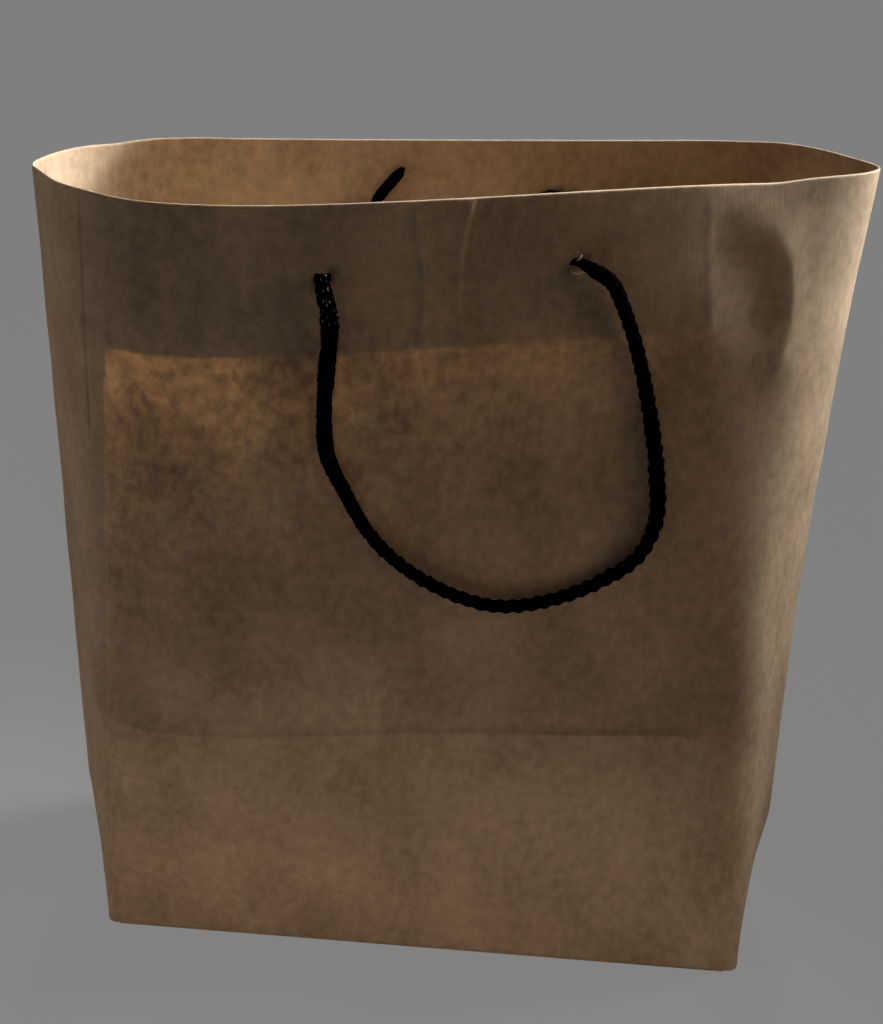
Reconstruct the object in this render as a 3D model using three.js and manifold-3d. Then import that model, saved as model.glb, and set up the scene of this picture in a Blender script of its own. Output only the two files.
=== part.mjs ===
// Paper carrier bag with two cord handles, standing open.
// Millimetres, +Z up. The origin is the middle of the base, on the floor, and the front panel faces -Y.
import * as THREE from "three";
import { mergeVertices } from "three/addons/utils/BufferGeometryUtils.js";
import Module from "manifold-3d";

// Sheet
const WIDTH = 240; // front and back panels, fold to fold
const DEPTH = 110; // side panels, fold to fold
const HEIGHT = 290; // floor to rim, measured along the paper
const PAPER = 0.35; // one layer of kraft paper, with its texture
const HEM_DEPTH = 50; // band turned in at the rim
const BASE_CREASE = 92; // height of the crease across the front panel
const SIDE_CREASE = 38; // height where the side panels are pushed out furthest
const FLAP_OVERLAP = 14; // outer base flap, past the middle of the base
const FOLD_INSET = 0.5; // base flaps, in from the outside of the folds

// Mouth, as the standing bag has opened
const LEFT_SPREAD = 19.5; // degrees that each half of the left side leans out
const RIGHT_SPREAD = 50; // degrees that each half of the right side leans out
const MOUTH_TWIST = 11.5; // degrees that the mouth is turned over the base
const MOUTH_OFFSET = [-4, -7.5]; // middle of the mouth over the base
const FRONT_SHIFT = -5; // front panel along the mouth
const FRONT_BOW = 24; // front panel at the rim, outwards
const BACK_BOW = -4.5; // back panel at the rim, inwards
const RIGHT_BOW = 7; // front half of the right side at the rim, outwards
const LEFT_FULLNESS = 7; // swelling of the front panel beside its left fold
const LEFT_PUSH = 17.5; // left side panel at the side crease, outwards
const LEFT_FADE = 1.05; // power with which that push fades towards the rim
const RIGHT_PUSH = 7.5; // right side panel at the side crease, outwards
const RIGHT_FADE = 2.9; // power with which that push fades towards the rim
const PUSH_RISE = 0.7; // power with which both pushes grow from the floor

// Rounding of the folds, as a length on each side of a fold
const BASE_ROUND = 5;
const MOUTH_ROUND = 22;
const LEFT_TIP_ROUND = 10;
const RIGHT_TIP_ROUND = 5;

// Handles
const CORD_DIAMETER = 5;
const CORD_SIDES = 10;
const CORD_STEPS = 64;
const TAIL_STEPS = 10;
const HOLE_CLEARANCE = 0.5; // cord to the edge of its hole
const SEAT_GAP = 0.3; // knot to the paper
const HOLE_SPACING = 85.5; // between the two holes of a panel
const FRONT_HOLES = [4.8, 24.5]; // middle of the front pair, right of the panel's middle and below the rim
const BACK_HOLES = [12, 29]; // middle of the back pair, in the same measures as seen from the front
const KNOT_RADIUS = 5.2;
const KNOT_STRETCH = 1.2; // knot, along the rim and up the wall

// Fineness of the sheet
const ROUND_STEPS = 4;
const LONG_STEPS = 18;
const SHORT_STEPS = 3;
const HOLE_SIDES = 24;

// Handle route outside a panel: [right of the middle of its holes, below them, off the wall]
const LEFT_HOLE = -HOLE_SPACING / 2;
const RIGHT_HOLE = HOLE_SPACING / 2;
const HANDLE_ROUTE = [
  [LEFT_HOLE, 0, 2.5],
  [-42.2, 2, 7.5],
  [-41, 8.5, 9.5],
  [-40.4, 17.5, 7],
  [-40.8, 30, 4.4],
  [-41.1, 47.5, 3.6],
  [-39.8, 60.5, 3.6],
  [-33.6, 74.5, 3.6],
  [-25, 90.4, 3.6],
  [-13.4, 103.3, 3.6],
  [4.2, 115, 3.6],
  [21.2, 120.5, 3.6],
  [38.2, 119, 3.6],
  [56.2, 112.5, 3.6],
  [70.2, 103, 3.6],
  [75.7, 90.5, 3.6],
  [75.2, 75.5, 3.6],
  [71.2, 53, 3.6],
  [64.9, 29.5, 4.4],
  [58, 13.5, 7],
  [52.2, 3.6, 9.2],
  [45.6, 0.5, 7],
  [RIGHT_HOLE, 0, 2.5],
];

// Cord ends beyond the knots, inside the bag, in the same three measures
const FRONT_TAILS = [
  [[-42.5, 9.5, -7], [-41, 18.5, -5.5], [-42, 27.5, -4.5]],
  [[42.7, 9.5, -7], [41.2, 17.5, -5.5], [41.7, 24.5, -4.5]],
];
const BACK_TAILS = [
  [[-36, 2, -7.5], [-32.5, -2, -6], [-29.7, -8, -5], [-19.8, -19.4, -4.5]],
  [[42.4, -5, -6.5], [39, -7.4, -5.5], [34, -7.8, -5], [30.2, -7.5, -4.5]],
];

const KRAFT = { color: 0xa9855c, roughness: 0.85, metalness: 0 };
const BLACK_CORD = { color: 0x141414, roughness: 0.7, metalness: 0 };

const FRONT = 0; // edge of the outline from the front left fold to the front right fold
const RIGHT_FRONT = 1; // edge from the front right fold to the outer fold of the right side
const BACK = 3; // edge from the back right fold to the back left fold
const wasm = await Module();
wasm.setup();

const flat = (x, y) => new THREE.Vector2(x, y);
const radians = THREE.MathUtils.degToRad;
const mix = THREE.MathUtils.lerp;
const outward = (a, b) => flat(b.y - a.y, a.x - b.x).normalize();

// Length of the straight line under a panel that keeps its width when it bows.
const chord = (bow) => WIDTH - (8 * bow * bow) / (3 * WIDTH);

// The outer fold of a side panel, half the depth away from both of its neighbours.
function sideFold(from, to) {
  const half = from.distanceTo(to) / 2;
  const reach = Math.sqrt((DEPTH / 2) ** 2 - half ** 2);
  return from.clone().lerp(to, 0.5).addScaledVector(outward(from, to), reach);
}

// Folds in order: front left, front right, right side, back right, back left, left side.
function baseFolds() {
  const x = WIDTH / 2;
  const y = DEPTH / 2;
  return [flat(-x, -y), flat(x, -y), flat(x, 0), flat(x, y), flat(-x, y), flat(-x, 0)];
}

function mouthFolds() {
  const left = (DEPTH / 2) * Math.cos(radians(LEFT_SPREAD));
  const right = (DEPTH / 2) * Math.cos(radians(RIGHT_SPREAD));
  const front = chord(FRONT_BOW) / 2;
  const back = chord(BACK_BOW) / 2;
  const frontLeft = flat(FRONT_SHIFT - front, -left);
  const frontRight = flat(FRONT_SHIFT + front, -right);
  const backRight = flat(back, right);
  const backLeft = flat(-back, left);
  const rightSide = sideFold(frontRight, backRight);
  const leftSide = sideFold(backLeft, frontLeft);
  const folds = [frontLeft, frontRight, rightSide, backRight, backLeft, leftSide];
  const middle = flat(...MOUTH_OFFSET);
  return folds.map((fold) => fold.rotateAround(flat(0, 0), radians(MOUTH_TWIST)).add(middle));
}

const BASE_FOLDS = baseFolds();
const MOUTH_FOLDS = mouthFolds();

// How far a side panel is pushed out at a share t of the height.
function sidePush(t, push, fade) {
  const top = SIDE_CREASE / HEIGHT;
  return t < top ? push * (t / top) ** PUSH_RISE : push * ((1 - t) / (1 - top)) ** fade;
}

function foldsAt(t) {
  const folds = BASE_FOLDS.map((fold, i) => fold.clone().lerp(MOUTH_FOLDS[i], t));
  folds[2].x += sidePush(t, RIGHT_PUSH, RIGHT_FADE);
  folds[5].x -= sidePush(t, LEFT_PUSH, LEFT_FADE);
  return folds;
}

// Outward swelling of an edge of the outline at a share u of its length.
function swelling(edge, u, t) {
  const crease = BASE_CREASE / HEIGHT;
  const bow = 4 * u * (1 - u);
  if (edge === BACK) return BACK_BOW * t * bow;
  if (edge === RIGHT_FRONT) return RIGHT_BOW * t * t * bow * (0.5 + u);
  if (edge !== FRONT) return 0;
  const full = LEFT_FULLNESS * Math.min(t / crease, 1);
  const peak = 5 ** 5 / 6 ** 6; // highest value of u (1 - u)^5
  return FRONT_BOW * Math.max((t - crease) / (1 - crease), 0) * bow + (full * u * (1 - u) ** 5) / peak;
}

function edgePoint(folds, edge, u, t) {
  const from = folds[edge];
  const to = folds[(edge + 1) % folds.length];
  return from.clone().lerp(to, u).addScaledVector(outward(from, to), swelling(edge, u, t));
}

// Closed outline of the outside of the sheet, with a soft curve at each fold.
function outline(t) {
  const folds = foldsAt(t);
  const count = folds.length;
  const mouth = [MOUTH_ROUND, MOUTH_ROUND, RIGHT_TIP_ROUND, MOUTH_ROUND, MOUTH_ROUND, LEFT_TIP_ROUND];
  const share = (edge, fold) => {
    const length = folds[edge].distanceTo(folds[(edge + 1) % count]);
    return mix(BASE_ROUND, mouth[fold], t) / length;
  };
  const points = [];
  for (let i = 0; i < count; i += 1) {
    const before = (i + count - 1) % count;
    const after = (i + 1) % count;
    const start = edgePoint(folds, before, 1 - share(before, i), t);
    const end = edgePoint(folds, i, share(i, i), t);
    const curve = new THREE.QuadraticBezierCurve(start, folds[i], end);
    for (let k = 0; k < ROUND_STEPS; k += 1) points.push(curve.getPoint(k / ROUND_STEPS));
    const steps = i === FRONT || i === BACK ? LONG_STEPS : SHORT_STEPS;
    for (let k = 0; k < steps; k += 1) {
      points.push(edgePoint(folds, i, mix(share(i, i), 1 - share(i, after), k / steps), t));
    }
  }
  return points;
}

// Height of the rim over a point of the base, because a leaning wall keeps its length.
const rimHeight = (base, mouth) => Math.sqrt(HEIGHT ** 2 - base.distanceToSquared(mouth));

const BASE_OUTLINE = outline(0);
const RIM_OUTLINE = outline(1);

// One closed row of the sheet, a number of paper layers in from the outside.
function row(t, layers) {
  const points = outline(t);
  const count = points.length;
  return points.map((point, i) => {
    const out = outward(points[(i + count - 1) % count], points[(i + 1) % count]);
    const inner = point.clone().addScaledVector(out, -layers * PAPER);
    return new THREE.Vector3(inner.x, inner.y, t * rimHeight(BASE_OUTLINE[i], RIM_OUTLINE[i]));
  });
}

// Shares of the height at which the sheet has a row, from just above one height up to another.
function levels(from, to, count) {
  return Array.from({ length: count }, (_, k) => mix(from, to, (k + 1) / count) / HEIGHT);
}

function sheetRows() {
  const floorTop = 3 * PAPER;
  const hemEdge = HEIGHT - HEM_DEPTH;
  const wall = [
    ...levels(floorTop, SIDE_CREASE, 3),
    ...levels(SIDE_CREASE, BASE_CREASE, 2),
    ...levels(BASE_CREASE, hemEdge, 5),
  ];
  const hem = levels(hemEdge, HEIGHT, 4);
  const outside = [PAPER / HEIGHT, ...wall, ...hem].map((t) => row(t, 0));
  const turnedIn = [wall.at(-1), ...hem].reverse().map((t) => row(t, 2));
  const inside = [floorTop / HEIGHT, ...wall].reverse().map((t) => row(t, 1));
  return [...outside, ...turnedIn, ...inside];
}

// Closed surface through rows of equal length, with a flat cap on the first row and on the last.
// Falling rows are split along the other diagonal, so that both faces of the paper bend alike.
function skin(rows) {
  const count = rows[0].length;
  const index = [];
  for (let r = 0; r + 1 < rows.length; r += 1) {
    const falling = rows[r + 1][0].z < rows[r][0].z;
    for (let i = 0; i < count; i += 1) {
      const a = r * count + i;
      const b = r * count + ((i + 1) % count);
      const c = a + count;
      const d = b + count;
      if (falling) index.push(a, b, c, b, d, c);
      else index.push(a, b, d, a, d, c);
    }
  }
  const cap = (ring, offset, turned) => {
    const contour = ring.map((p) => flat(p.x, p.y));
    for (const [a, b, c] of THREE.ShapeUtils.triangulateShape(contour, [])) {
      index.push(offset + a, offset + (turned ? c : b), offset + (turned ? b : c));
    }
  };
  cap(rows[0], 0, true);
  cap(rows.at(-1), (rows.length - 1) * count, false);
  const geometry = new THREE.BufferGeometry().setFromPoints(rows.flat());
  return geometry.setIndex(index);
}

function solid(geometry) {
  const bare = geometry.clone();
  bare.deleteAttribute("normal");
  bare.deleteAttribute("uv");
  const merged = mergeVertices(bare, 1e-4);
  const triVerts = new Uint32Array(merged.index.array);
  const vertProperties = new Float32Array(merged.attributes.position.array);
  return new wasm.Manifold(new wasm.Mesh({ numProp: 3, vertProperties, triVerts }));
}

function namedMesh(name, body, look) {
  const { vertProperties, triVerts } = body.getMesh();
  const geometry = new THREE.BufferGeometry();
  geometry.setAttribute("position", new THREE.BufferAttribute(vertProperties, 3));
  geometry.setIndex(new THREE.BufferAttribute(triVerts, 1));
  geometry.computeVertexNormals();
  const mesh = new THREE.Mesh(geometry, new THREE.MeshStandardMaterial(look));
  mesh.name = name;
  return mesh;
}

// A place on a panel and the way out of it, given across from the panel's middle and below the rim.
function wallFrame(panel, across, drop) {
  const place = (u, t) => {
    const foot = edgePoint(BASE_FOLDS, panel, u, 0);
    const head = edgePoint(MOUTH_FOLDS, panel, u, 1);
    const at = edgePoint(foldsAt(t), panel, u, t);
    return new THREE.Vector3(at.x, at.y, t * rimHeight(foot, head));
  };
  const u = 0.5 + across / WIDTH;
  const t = 1 - drop / HEIGHT;
  const near = 0.01;
  const along = place(u + near, t).sub(place(u - near, t));
  const up = place(u, t).sub(place(u, t - near));
  return { point: place(u, t), normal: along.cross(up).normalize() };
}

// A place by the holes of a panel, measured as seen from the front of the bag.
function holeFrame(panel, [right, below]) {
  const [offset, drop] = panel === FRONT ? FRONT_HOLES : BACK_HOLES;
  const across = offset + right;
  return wallFrame(panel, panel === FRONT ? across : -across, drop + below);
}

function cordPlace(panel, place) {
  const { point, normal } = holeFrame(panel, place);
  return point.addScaledVector(normal, place[2]);
}

function holeCutter(panel, right) {
  const { point, normal } = holeFrame(panel, [right, 0]);
  const radius = CORD_DIAMETER / 2 + HOLE_CLEARANCE;
  const cutter = new THREE.CylinderGeometry(radius, radius, 4 * CORD_DIAMETER, HOLE_SIDES);
  const turn = new THREE.Quaternion().setFromUnitVectors(new THREE.Vector3(0, 1, 0), normal);
  return solid(cutter.applyQuaternion(turn).translate(point.x, point.y, point.z));
}

// A flat flap of paper, one layer thick and let one layer into the floor of the bag.
function flap(points, below) {
  const shape = new THREE.Shape(points);
  const plate = new THREE.ExtrudeGeometry(shape, { depth: 2 * PAPER, bevelEnabled: false });
  return solid(plate.translate(0, 0, below));
}

function outerFlap() {
  const x = WIDTH / 2 - FOLD_INSET - BASE_ROUND;
  const y = DEPTH / 2 - FOLD_INSET;
  const slant = y + FLAP_OVERLAP;
  const points = [
    flat(-x, -y),
    flat(x, -y),
    flat(x - slant, FLAP_OVERLAP),
    flat(slant - x, FLAP_OVERLAP),
  ];
  return flap(points, 0);
}

// Triangle folded in from a side panel, on the floor inside the bag.
function endFlap(side) {
  const x = WIDTH / 2 - FOLD_INSET - BASE_ROUND;
  const y = DEPTH / 2 - FOLD_INSET - BASE_ROUND;
  const points = [flat(side * x, -y), flat(side * x, y), flat(side * (x - y), 0)];
  return flap(side > 0 ? points : points.reverse(), 2 * PAPER);
}

function paperBag() {
  let body = solid(skin(sheetRows()));
  for (const piece of [outerFlap(), endFlap(1), endFlap(-1)]) body = body.add(piece);
  for (const panel of [FRONT, BACK]) {
    for (const right of [LEFT_HOLE, RIGHT_HOLE]) body = body.subtract(holeCutter(panel, right));
  }
  return namedMesh("paper_bag", body, KRAFT);
}

function cordTube(points, steps) {
  const section = new THREE.Shape();
  for (let k = 0; k < CORD_SIDES; k += 1) {
    const angle = (2 * Math.PI * k) / CORD_SIDES;
    const corner = flat(Math.cos(angle), Math.sin(angle)).multiplyScalar(CORD_DIAMETER / 2);
    if (k === 0) section.moveTo(corner.x, corner.y);
    else section.lineTo(corner.x, corner.y);
  }
  const extrudePath = new THREE.CatmullRomCurve3(points, false, "centripetal");
  return solid(new THREE.ExtrudeGeometry(section, { steps, extrudePath, bevelEnabled: false }));
}

function knot(panel, place) {
  const ball = new THREE.SphereGeometry(KNOT_RADIUS, 14, 10);
  ball.scale(KNOT_STRETCH, KNOT_STRETCH, 1);
  const { normal } = holeFrame(panel, place);
  const turn = new THREE.Quaternion().setFromUnitVectors(new THREE.Vector3(0, 0, 1), normal);
  const at = cordPlace(panel, place);
  return solid(ball.applyQuaternion(turn).translate(at.x, at.y, at.z));
}

// One cord: through both holes of a panel, with a knot and a loose end behind each hole.
function handleCord(name, panel, tails) {
  const behind = -(2 * PAPER + SEAT_GAP + KNOT_RADIUS);
  const knots = [LEFT_HOLE, RIGHT_HOLE].map((right) => [right, 0, behind]);
  const route = [knots[0], ...HANDLE_ROUTE, knots[1]].map((place) => cordPlace(panel, place));
  let body = cordTube(route, CORD_STEPS);
  knots.forEach((place, side) => {
    const tail = [place, ...tails[side]].map((end) => cordPlace(panel, end));
    body = body.add(knot(panel, place)).add(cordTube(tail, TAIL_STEPS));
  });
  return namedMesh(name, body, BLACK_CORD);
}

const bag = new THREE.Group();
bag.add(paperBag());
bag.add(handleCord("front_handle_cord", FRONT, FRONT_TAILS));
bag.add(handleCord("rear_handle_cord", BACK, BACK_TAILS));

export default bag;
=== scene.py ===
# %% [markdown]
# # A paper carrier bag with cord handles
# The object is a brown kraft paper carrier that stands open: one folded sheet, and two soft black cords
# for handles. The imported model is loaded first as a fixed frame, in metres, with the middle of the base at
# the origin and the front panel facing -Y. Everything below is made in that frame, so no piece has to be
# moved into place afterwards.

# %% Load the frame
import math
from functools import cache

import bmesh
import bpy
from mathutils import Matrix, Vector, noise


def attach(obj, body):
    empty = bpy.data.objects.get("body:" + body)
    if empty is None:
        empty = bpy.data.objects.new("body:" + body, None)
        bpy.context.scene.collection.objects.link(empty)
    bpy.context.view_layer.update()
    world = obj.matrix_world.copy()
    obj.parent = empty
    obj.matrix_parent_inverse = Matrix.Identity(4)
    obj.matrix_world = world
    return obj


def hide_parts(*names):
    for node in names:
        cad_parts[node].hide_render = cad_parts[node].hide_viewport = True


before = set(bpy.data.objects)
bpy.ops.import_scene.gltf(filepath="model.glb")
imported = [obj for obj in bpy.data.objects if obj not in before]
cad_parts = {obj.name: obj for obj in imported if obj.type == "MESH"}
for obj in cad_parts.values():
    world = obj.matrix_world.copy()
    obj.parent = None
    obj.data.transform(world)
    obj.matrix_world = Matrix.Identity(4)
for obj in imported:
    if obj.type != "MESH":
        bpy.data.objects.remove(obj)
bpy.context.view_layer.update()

scene = bpy.context.scene
scene.view_settings.view_transform = "Standard"

# %% [markdown]
# ## Camera
# The picture was taken from a little to the right of the bag and above it, tilted down by about 21 degrees.
# A camera can be aimed with a constraint, but three plain angles and a position are easier to read and to
# correct.

# %% Camera
CAMERA_PLACE = Vector((0.0702, -0.6667, 0.4123))
CAMERA_LENS = 67.33  # millimetres, for a picture 36 mm high
CAMERA_TURN = math.radians(5.99)  # towards the left
CAMERA_TILT = math.radians(20.98)  # down
CAMERA_ROLL = math.radians(1.18)

camera = bpy.data.objects.new("camera", bpy.data.cameras.new("camera"))
camera.data.sensor_fit = "VERTICAL"
camera.data.sensor_height = 36
camera.data.lens = CAMERA_LENS
camera.data.clip_start = 0.01
aim = (
    Matrix.Rotation(CAMERA_TURN, 4, "Z")
    @ Matrix.Rotation(math.pi / 2 - CAMERA_TILT, 4, "X")
    @ Matrix.Rotation(CAMERA_ROLL, 4, "Z")
)
camera.matrix_world = Matrix.Translation(CAMERA_PLACE) @ aim
scene.collection.objects.link(camera)
scene.camera = camera
print("camera looks along", [round(x, 3) for x in -aim.to_3x3().col[2]])

# %% [markdown]
# ## The shape that the paper takes
# A carrier is a flat blank that is folded into a tube with six upright folds: four corners, and one down
# the middle of each side. At the base the tube is a rectangle. At the mouth the sides have spread out at
# their middle folds, the whole mouth has turned a little over the base, and the front panel has bowed out.
# It could be sculpted, but paper doesn't stretch, so the panels' widths settle most of the shape. The
# outline is worked out at the base and at the mouth, and every height in between is a mix of the two.

# %% Driving dimensions of the sheet
WIDTH = 0.240  # front and back panels, fold to fold
DEPTH = 0.110  # side panels, fold to fold
HEIGHT = 0.290  # floor to rim, along the paper
PAPER = 0.00035  # one layer
HEM_DEPTH = 0.050  # band turned in at the rim
BASE_CREASE = 0.092  # height of the crease across the front panel
SIDE_CREASE = 0.038  # height where the side panels are pushed out furthest

LEFT_SPREAD = math.radians(19.5)  # turn of each half of a side panel at the mouth
RIGHT_SPREAD = math.radians(50)
MOUTH_TWIST = math.radians(11.5)  # turn of the mouth over the base
MOUTH_OFFSET = Vector((-0.004, -0.0075))  # shift of the mouth over the base
FRONT_SHIFT = -0.005  # shift of the front panel's rim along the mouth
FRONT_BOW = 0.024  # how far each panel bows out at the rim
BACK_BOW = -0.0045
RIGHT_BOW = 0.007
LEFT_FULLNESS = 0.007  # how far the front stands out beside its left fold
FULLNESS_PEAK = 5**5 / 6**6  # highest value of u * (1 - u)**5, the curve of that fullness
LEFT_PUSH = 0.0175  # how far the side panels are pushed out at the side crease
RIGHT_PUSH = 0.0075
LEFT_FADE = 1.05  # power with which the push fades towards the rim
RIGHT_FADE = 2.9
PUSH_RISE = 0.7  # power with which it grows from the floor

BASE_ROUND = 0.005  # reach of a rounded fold to either side, at the base
MOUTH_ROUND = [0.022, 0.022, 0.005, 0.022, 0.042, 0.010]  # and of each fold at the mouth
ROUND_RISE = [0.5, 0.35, 1, 1, 1, 1]  # power with which each rounding grows from the base to the mouth
EDGE_LENGTH = [WIDTH, DEPTH / 2, DEPTH / 2, WIDTH, DEPTH / 2, DEPTH / 2]
FOLDS = len(EDGE_LENGTH)
FRONT, RIGHT_FRONT, BACK = 0, 1, 3  # edges of the outline, counted from the front left fold
RIGHT_MIDDLE, LEFT_MIDDLE = 2, 5  # middle folds of the side panels
AROUND = sum(EDGE_LENGTH)
print(f"the tube is {AROUND:.3f} m around")


# %% Folds at the base and at the mouth
def outward(a, b):
    return Vector((b.y - a.y, a.x - b.x)).normalized()


def bowed_chord(bow):
    return WIDTH - 8 * bow * bow / (3 * WIDTH)


def side_fold(a, b):
    reach = math.sqrt((DEPTH / 2) ** 2 - ((b - a).length / 2) ** 2)
    return (a + b) / 2 + outward(a, b) * reach


def base_folds():
    x, y = WIDTH / 2, DEPTH / 2
    return [Vector(p) for p in ((-x, -y), (x, -y), (x, 0), (x, y), (-x, y), (-x, 0))]


def mouth_folds():
    left = DEPTH / 2 * math.cos(LEFT_SPREAD)
    right = DEPTH / 2 * math.cos(RIGHT_SPREAD)
    front, back = bowed_chord(FRONT_BOW) / 2, bowed_chord(BACK_BOW) / 2
    fl, fr = Vector((FRONT_SHIFT - front, -left)), Vector((FRONT_SHIFT + front, -right))
    br, bl = Vector((back, right)), Vector((-back, left))
    turn = Matrix.Rotation(MOUTH_TWIST, 2)
    return [turn @ p + MOUTH_OFFSET for p in (fl, fr, side_fold(fr, br), br, bl, side_fold(bl, fl))]


BASE_FOLDS, MOUTH_FOLDS = base_folds(), mouth_folds()
print("mouth folds:", [tuple(round(c, 4) for c in p) for p in MOUTH_FOLDS])


# %% Outline at any height
def side_push(t, push, fade):
    top = SIDE_CREASE / HEIGHT
    return push * (t / top) ** PUSH_RISE if t < top else push * ((1 - t) / (1 - top)) ** fade


@cache
def folds_at(t):
    """The folds at a share t of the height."""
    folds = [a.lerp(b, t) for a, b in zip(BASE_FOLDS, MOUTH_FOLDS)]
    folds[RIGHT_MIDDLE].x += side_push(t, RIGHT_PUSH, RIGHT_FADE)
    folds[LEFT_MIDDLE].x -= side_push(t, LEFT_PUSH, LEFT_FADE)
    return folds


def swelling(edge, u, t):
    bow = 4 * u * (1 - u)
    if edge == BACK:
        return BACK_BOW * t * bow
    if edge == RIGHT_FRONT:
        return RIGHT_BOW * t * t * bow * (0.5 + u)
    if edge != FRONT:
        return 0
    crease = BASE_CREASE / HEIGHT
    full = LEFT_FULLNESS * min(t / crease, 1) * u * (1 - u) ** 5 / FULLNESS_PEAK
    return FRONT_BOW * max((t - crease) / (1 - crease), 0) * bow + full


def edge_point(edge, u, t):
    folds = folds_at(t)
    a, b = folds[edge], folds[(edge + 1) % FOLDS]
    return a.lerp(b, u) + outward(a, b) * swelling(edge, u, t)


def outline_point(s, t):
    """A point s metres around the tube from the front left fold, with the folds rounded."""
    edge = 0
    while s >= EDGE_LENGTH[edge] and edge < FOLDS - 1:
        s -= EDGE_LENGTH[edge]
        edge += 1
    length = EDGE_LENGTH[edge]
    for fold, away in ((edge, s), ((edge + 1) % FOLDS, s - length)):
        reach = BASE_ROUND + (MOUTH_ROUND[fold] - BASE_ROUND) * t ** ROUND_RISE[fold]
        if abs(away) < reach:
            last = (fold - 1) % FOLDS
            before = edge_point(last, 1 - reach / EDGE_LENGTH[last], t)
            after = edge_point(fold, reach / EDGE_LENGTH[fold], t)
            v = (away + reach) / (2 * reach)
            return before * (1 - v) ** 2 + folds_at(t)[fold] * (2 * v * (1 - v)) + after * v**2
    return edge_point(edge, s / length, t)


def wall_point(s, h):
    """A point of the outside of the sheet, h metres up the paper. A leaning wall keeps its length."""
    t, s = h / HEIGHT, s % AROUND
    lean = (outline_point(s, 1) - outline_point(s, 0)).length
    here = outline_point(s, t)
    return Vector((here.x, here.y, t * math.sqrt(HEIGHT**2 - lean**2)))


def wall_normal(s, h, step=0.0015):
    along = wall_point(s + step, h) - wall_point(s - step, h)
    low = max(h - step, 0)
    up = wall_point(s, low + step) - wall_point(s, low)
    return along.cross(up).normalized()


print("front panel, middle of the rim:", [round(c, 4) for c in wall_point(WIDTH / 2, HEIGHT)])

# %% [markdown]
# ## Handle cords
# Each handle is one soft black braided cord, about 5 mm thick. It comes out of a hole in the panel, hangs
# down in a loop, goes back in at the other hole, and is held by a knot behind each. Its length is settled
# first, from the visible route, then the route is laid on the wall: for each point, how far right of the
# middle of the two holes it is, how far below them, and how far off the paper. A curve object with a round
# bevel would be quicker, but a braid has lumps that catch the light, so the tube is a mesh.

# %% Route of a handle
MM = 1000  # millimetres in a metre
LEFT, RIGHT = -1, 1  # sides of the middle of the two holes
CORD_DIAMETER = 0.005
HOLE_RADIUS = CORD_DIAMETER / 2 + 0.0005
HOLE_SPACING = 0.0855
FRONT_HOLES = (0.0048, 0.0245)  # middle of the pair: right of the panel's middle, below the rim
BACK_HOLES = (0.012, 0.029)
KNOT_RADIUS = 0.0052
SEAT_GAP = 0.0003
BEHIND = -(2 * PAPER + SEAT_GAP + KNOT_RADIUS)  # middle of a knot, off the outside of the wall
HANDLE_ROUTE = [  # millimetres
    (-42.8, 0.9, 2.5), (-42.3, 2.9, 7.4), (-41, 8.8, 9.3), (-40.4, 17.5, 7), (-40.8, 30, 4.4),
    (-41.1, 47.5, 3.6), (-39.8, 60.5, 3.6), (-33.6, 74.5, 3.6), (-25, 90.4, 3.6), (-13.4, 103.3, 3.6),
    (4.2, 115, 3.6), (21.2, 120.5, 3.6), (38.2, 119, 3.6), (56.2, 112.5, 3.6), (70.2, 103, 3.6),
    (75.7, 90.5, 3.6), (75.2, 75.5, 3.6), (71.2, 53, 3.6), (64.5, 29.5, 4.4), (57.2, 13.4, 7),
    (51.3, 3.7, 9.0), (46.8, 0.4, 7.2), (44, -1, 3),
]
FRONT_TAILS = [
    [(-42.5, 9.5, -7), (-41, 18.5, -5.5), (-42, 27.5, -4.5)],
    [(42.7, 9.5, -7), (41.2, 17.5, -5.5), (41.7, 24.5, -4.5)],
]
BACK_TAILS = [
    [(-36, 2, -7.5), (-32.5, -2, -6), (-29.7, -8, -5), (-19.8, -19.4, -4.5)],
    [(42.4, -5, -6.5), (39, -8.2, -5.5), (34, -9.4, -5), (30.2, -9.6, -4.5)],
]
CORD_STEP, TAIL_STEP = 0.0006, 0.0008  # distance between the rings of a handle and of a loose end
SPLINE_STEPS = 12  # steps between two points of a route


def hole_flat(panel, right, below):
    """Distance around and up the sheet of a place by the holes, as seen from the front."""
    offset, drop = FRONT_HOLES if panel == FRONT else BACK_HOLES
    start = sum(EDGE_LENGTH[:panel])
    across = offset + right if panel == FRONT else -offset - right
    return start + WIDTH / 2 + across, HEIGHT - drop - below


def cord_place(panel, place):
    right, below, off = (x / MM for x in place)
    flat = hole_flat(panel, right, below)
    return wall_point(*flat) + wall_normal(*flat) * off


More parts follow.
